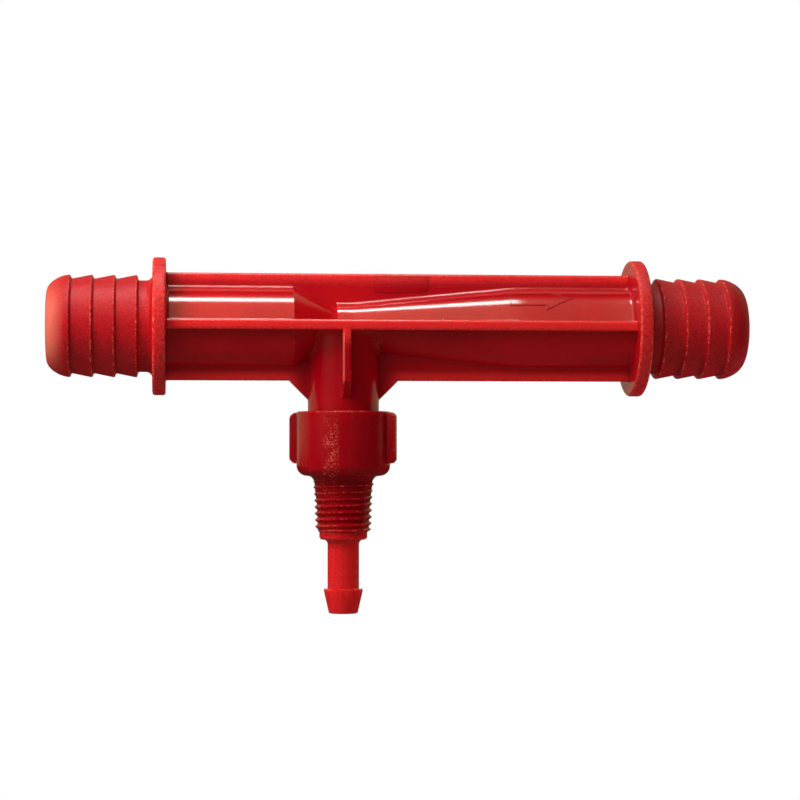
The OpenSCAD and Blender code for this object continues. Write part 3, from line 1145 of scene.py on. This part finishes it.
def coilHeight(turns):
    # the first and last turns lie closed, the ones between them are evenly open
    low, high = springLow.z + spring["wireR"], springHigh.z - spring["wireR"]
    closed = 2 * spring["wireR"] + spring["coilGap"]
    if turns < 1:
        return low + turns * closed
    if turns > spring["turns"] - 1:
        return high - (spring["turns"] - turns) * closed
    return low + closed + (turns - 1) * (high - low - 2 * closed) / (spring["turns"] - 2)


def makeSpring():
    coilR = (springHigh.x - springLow.x) / 2 - spring["wireR"]
    rings = []
    for k in range(spring["turns"] * spring["ringsPerTurn"] + 1):
        turns = k / spring["ringsPerTurn"]
        a = 2 * math.pi * turns
        ring = []
        for dr, dz in arc((0, 0), spring["wireR"], 0, 360, spring["sides"])[:-1]:
            r = coilR + dr
            ring.append(Vector((suctionX + r * math.cos(a), r * math.sin(a), coilHeight(turns) + dz)))
        rings.append(ring)
    return loft(rings)


def innerFinish(name, facts):
    material, sheet, place = newMaterial(name)
    cloud = sheet.noise(place, *facts["cloud"])
    fine = sheet.noise(sheet.stretch(place, facts["stretch"]), *facts["fine"])
    coverWith(sheet, sheet.add("ShaderNodeBsdfPrincipled", None, {
        "Base Color": sheet.blend(cloud.ramp(*facts["clouded"]), facts["plain"], facts["stained"]),
        "Metallic": facts["metal"], "Normal": sheet.bump(fine * facts["high"]),
        "Roughness": facts["rough"] + cloud * facts["cloudRough"] + fine * facts["fineRough"]}))
    return material


def dressNode(name, material):
    node = frame["nodes"][name]
    node.data.materials.clear()
    node.data.materials.append(material)


wireFinish = innerFinish("drawnWire", spring)
checkSpring = finishPiece(makeSpring(), "checkSpring", wireFinish, "injector", "check_spring",
                          spring["smoothAngle"])
ballLift = next(j for j in frame["joints"] if j["name"] == "ball_lift")
springKeep = 1 - ballLift["range_m"][1] / mm / (springHigh.z - springLow.z)
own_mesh(checkSpring)
dressNode("check_ball", innerFinish("ballPolymer", ball))
dressNode("cap_o_ring", innerFinish("sealRubber", seal))
print("check valve dressed, spring keeps", round(springKeep, 3), "of its length")


# Camera, lamps, floor and backdrop

camera = {
    "place": (8.74, -502.4, -28.5),
    "yaw": 5.55,
    "pitch": 1.43,
    "lens": 103.5,
    "sensor": 36,
    "clip": (0.01, 50),
}
floor = {
    "z": -150,
    "size": 8000,
    "clear": (110, 220),  # past the second distance the camera sees it pure white
    "share": 0.75,  # share of white in what the camera sees of it near the part
    "shown": (0.8, 0.8, 0.8, 1),
    "bounce": (0.3, 0.3, 0.3, 1),  # what it gives back to the part
    "mirrored": (0.03, 0.03, 0.03, 1),  # and shows in its gloss
}
# a mirrored lamp shows in the gloss alone, the others on the matte share alone
lamps = {
    "topStrip": {"place": (25, -78, 450), "turn": (0, 0, 0), "size": (190, 105), "power": 0.74,
                 "mirrored": True},
    "frontFill": {"place": (-250, -620, 420), "turn": (58, 0, -20), "size": (1500, 1100), "power": 3.3,
                  "mirrored": False},
    "leftKey": {"place": (-120, -130, 170), "turn": (50, 0, -51), "size": (150, 150), "power": 0.6,
                "mirrored": False},
    "leftReflector": {"place": (-300, -40, -96), "turn": (108, 0, -82), "size": (240, 100), "power": 0.15,
                      "mirrored": False},
    "rightReflector": {"place": (240, 66, -100), "turn": (106, 0, 108), "size": (160, 90), "power": 0.14,
                       "mirrored": False},
}
sky = {  # shares of the direction along x, y and z, and levels
    "cone": (0.97, 0.985),
    "behindY": (-0.05, 0.3),
    "behindZ": (0.78, 0.9),
    "frontX": (-0.15, 0.45),
    "frontY": (-0.2, 0.3),
    "frontZ": (0.25, 0.6),
    "cardX": (-0.9, -0.2),
    "cardY": (-0.6, 0.1),
    "cardZ": (0.2, 0.6),
    "least": 0.01,
    "behind": 0.3,
    "behindMatte": 0.7,  # added to it for matte surfaces
    "front": 0.9,
    "frontMatte": -0.3,
    "card": 0.14,
    "tint": (1, 0.94, 0.58, 1),
    "white": (1, 1, 1, 1),
}


def addCamera():
    bpy.ops.object.camera_add(location=[c * mm for c in camera["place"]],
                              rotation=(math.radians(90 + camera["pitch"]), 0, math.radians(-camera["yaw"])))
    obj = bpy.context.active_object
    obj.data.lens, obj.data.sensor_width = camera["lens"], camera["sensor"]
    obj.data.clip_start, obj.data.clip_end = camera["clip"]
    bpy.context.scene.camera = obj


def addLamp(name, facts):
    bpy.ops.object.light_add(type="AREA", location=[c * mm for c in facts["place"]],
                             rotation=[math.radians(a) for a in facts["turn"]])
    obj = bpy.context.active_object
    obj.name, obj.visible_camera = name, False
    obj.visible_glossy, obj.visible_diffuse = facts["mirrored"], not facts["mirrored"]
    obj.data.shape, obj.data.energy = "RECTANGLE", facts["power"]
    obj.data.size, obj.data.size_y = (s * mm for s in facts["size"])


def rayKinds(sheet, aim):
    # camera rays, gloss and transmission rays towards what the camera sees behind the part, diffuse rays
    x, y, _ = sheet.axes(aim)
    yaw = math.radians(camera["yaw"])
    beyond = (x * math.sin(yaw) + y * math.cos(yaw)).ramp(*sky["cone"])
    seen = sheet.add("ShaderNodeLightPath", output="Is Camera Ray")
    mirrored = sheet.add("ShaderNodeLightPath", output="Is Glossy Ray")
    passed = sheet.add("ShaderNodeLightPath", output="Is Transmission Ray")
    spread = sheet.add("ShaderNodeLightPath", output="Is Diffuse Ray")
    return seen, (mirrored + passed) * beyond, spread


def addFloor():
    bpy.ops.mesh.primitive_plane_add(size=floor["size"] * mm, location=(0, 0, floor["z"] * mm))
    obj = bpy.context.active_object
    bpy.ops.object.transform_apply(location=True)
    obj.name = "studioFloor"
    material, sheet, place = newMaterial("paleFloor")
    aim = sheet.add("ShaderNodeVectorMath", {"operation": "NORMALIZE"}, {0: place})
    seen, beyond, spread = rayKinds(sheet, aim)
    flat = sheet.add("ShaderNodeVectorMath", {"operation": "MULTIPLY"}, {0: place, 1: (1, 1, 0)})
    away = sheet.add("ShaderNodeVectorMath", {"operation": "LENGTH"}, {0: flat}, "Value")
    share = seen * (floor["share"] + away.span(*floor["clear"]) * (1 - floor["share"])) + beyond
    given = sheet.blend(spread, floor["mirrored"], floor["bounce"])
    matte = sheet.add("ShaderNodeBsdfDiffuse", None, {"Color": sheet.blend(seen, given, floor["shown"])})
    glow = sheet.add("ShaderNodeEmission", None, {"Color": sky["white"], "Strength": 1.0})
    coverWith(sheet, sheet.add("ShaderNodeMixShader", None, {0: share, 1: matte, 2: glow}))
    obj.data.materials.append(material)


def addBackdrop():
    # white to the camera all round, bright behind the part, above the front and a little at the left
    world = bpy.data.worlds.new("studioWorld")
    world.use_nodes = True
    bpy.context.scene.world = world
    sheet = Sheet(world.node_tree)
    aim = sheet.add("ShaderNodeTexCoord", output="Generated")
    x, y, z = sheet.axes(aim)
    seen, beyond, spread = rayKinds(sheet, aim)
    behind = y.ramp(*sky["behindY"]) * (1 - z.ramp(*sky["behindZ"]))
    front = (1 - y.ramp(*sky["frontY"])) * z.ramp(*sky["frontZ"]) * (1 - x.ramp(*sky["frontX"]))
    card = (1 - x.ramp(*sky["cardX"])) * (1 - y.ramp(*sky["cardY"])) * (1 - abs(z).ramp(*sky["cardZ"]))
    level = (sky["least"] + behind * (sky["behind"] + sky["behindMatte"] * spread)
             + front * (sky["front"] + sky["frontMatte"] * spread) + card * (1 - spread) * sky["card"])
    white = seen + beyond
    light = sheet.add("ShaderNodeBackground", None, {
        "Color": sheet.blend(white, sky["tint"], sky["white"]), "Strength": white + (1 - white) * level})
    sheet.add("ShaderNodeOutputWorld", None, {"Surface": light})


addCamera()
for lampName, lampFacts in lamps.items():
    addLamp(lampName, lampFacts)
addFloor()
addBackdrop()
bpy.context.scene.view_settings.view_transform = "Standard"
print("studio ready")
